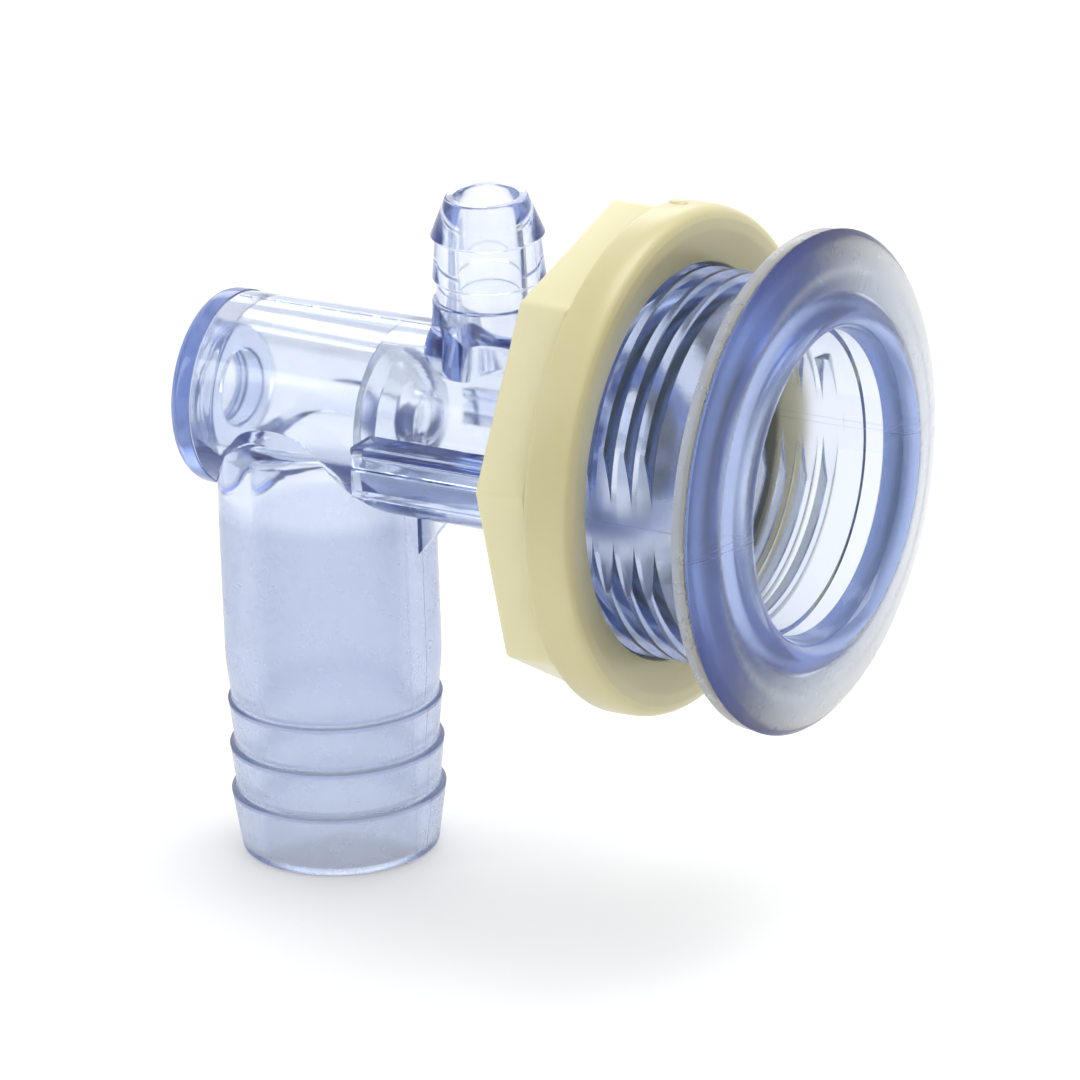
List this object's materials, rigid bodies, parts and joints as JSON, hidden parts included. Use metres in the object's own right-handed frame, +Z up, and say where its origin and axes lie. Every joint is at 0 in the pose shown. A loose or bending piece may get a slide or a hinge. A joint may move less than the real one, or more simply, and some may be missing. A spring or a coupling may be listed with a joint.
{
  "type": "thru hull jet fitting",
  "caption": "Clear through-wall jet fitting with a threaded, flanged barrel, an octagonal lock nut and slip ring, a water hose barb below and an air hose barb above.",
  "frame": {"origin": "where the main axis crosses the wall seat, the rear face of the flange gasket", "axes": "+X along the main axis, out of the flange; +Z up, the way the air barb points; the water barb points along -Z"},
  "size_m": [0.068, 0.049, 0.0698],
  "materials": {
    "clear_pvc": "clear, faintly blue, polished moulding",
    "ivory_plastic": "satin ivory moulding",
    "gasket_rubber": "pale translucent sheet gasket"
  },
  "bodies": {
    "jet": {"flange": "clear_pvc", "threaded_barrel": "clear_pvc", "jet_body": "clear_pvc", "end_cap": "clear_pvc", "venturi_nozzle": "clear_pvc", "flange_gasket": "gasket_rubber"},
    "slip_ring": {"slip_ring": "ivory_plastic"},
    "lock_nut": {"lock_nut": "ivory_plastic"}
  },
  "joints": [
    {"name": "nut_travel", "type": "slide", "parent": "jet", "child": "slip_ring", "axis": [1, 0, 0], "range_m": [-0.00225, 0.01085]},
    {"name": "nut_turn", "type": "hinge", "parent": "slip_ring", "child": "lock_nut", "pos_m": [-0.0183, 0, 0], "axis": [1, 0, 0], "range_deg": [-360, 1770]}
  ],
  "couplings": [
    {"joint": "nut_travel", "follows": "nut_turn", "m_per_rad": 0.00035014}
  ]
}
